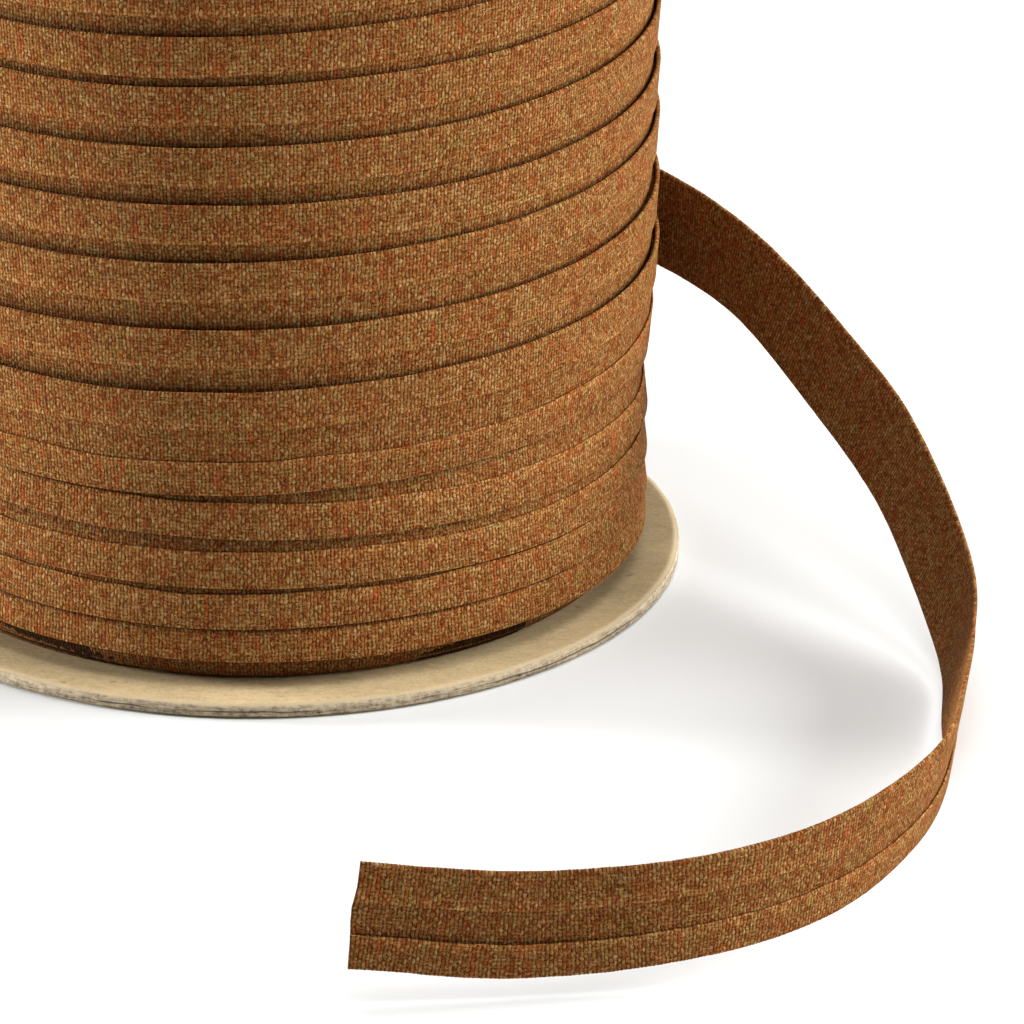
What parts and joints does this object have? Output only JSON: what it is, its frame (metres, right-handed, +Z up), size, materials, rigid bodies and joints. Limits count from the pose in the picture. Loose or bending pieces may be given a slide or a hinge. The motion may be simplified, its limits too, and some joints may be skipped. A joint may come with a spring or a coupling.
{
  "type": "roll of binding tape",
  "caption": "Folded binding tape in a heathered plain weave, wound on a spool with chipboard ends that stands upright. Its loose end curves round to the front on its edge.",
  "frame": {"origin": "on the spool's axis, in the plane of the lower board's underside, which the roll stands on", "axes": "+Z up along the spool's axis, -Y towards the front, where the loose end's cut end lies, +X to the side on which the loose end leaves the roll"},
  "size_m": [0.2074, 0.2687, 0.15],
  "materials": {
    "tape": "heathered plain weave in ochre, rust and olive, matt",
    "board": "matt grey-brown chipboard with a cut edge"
  },
  "bodies": {
    "root": {"flange_bottom": "board", "winding": "tape", "flange_top": "board", "loose_end": "tape"}
  },
  "joints": []
}
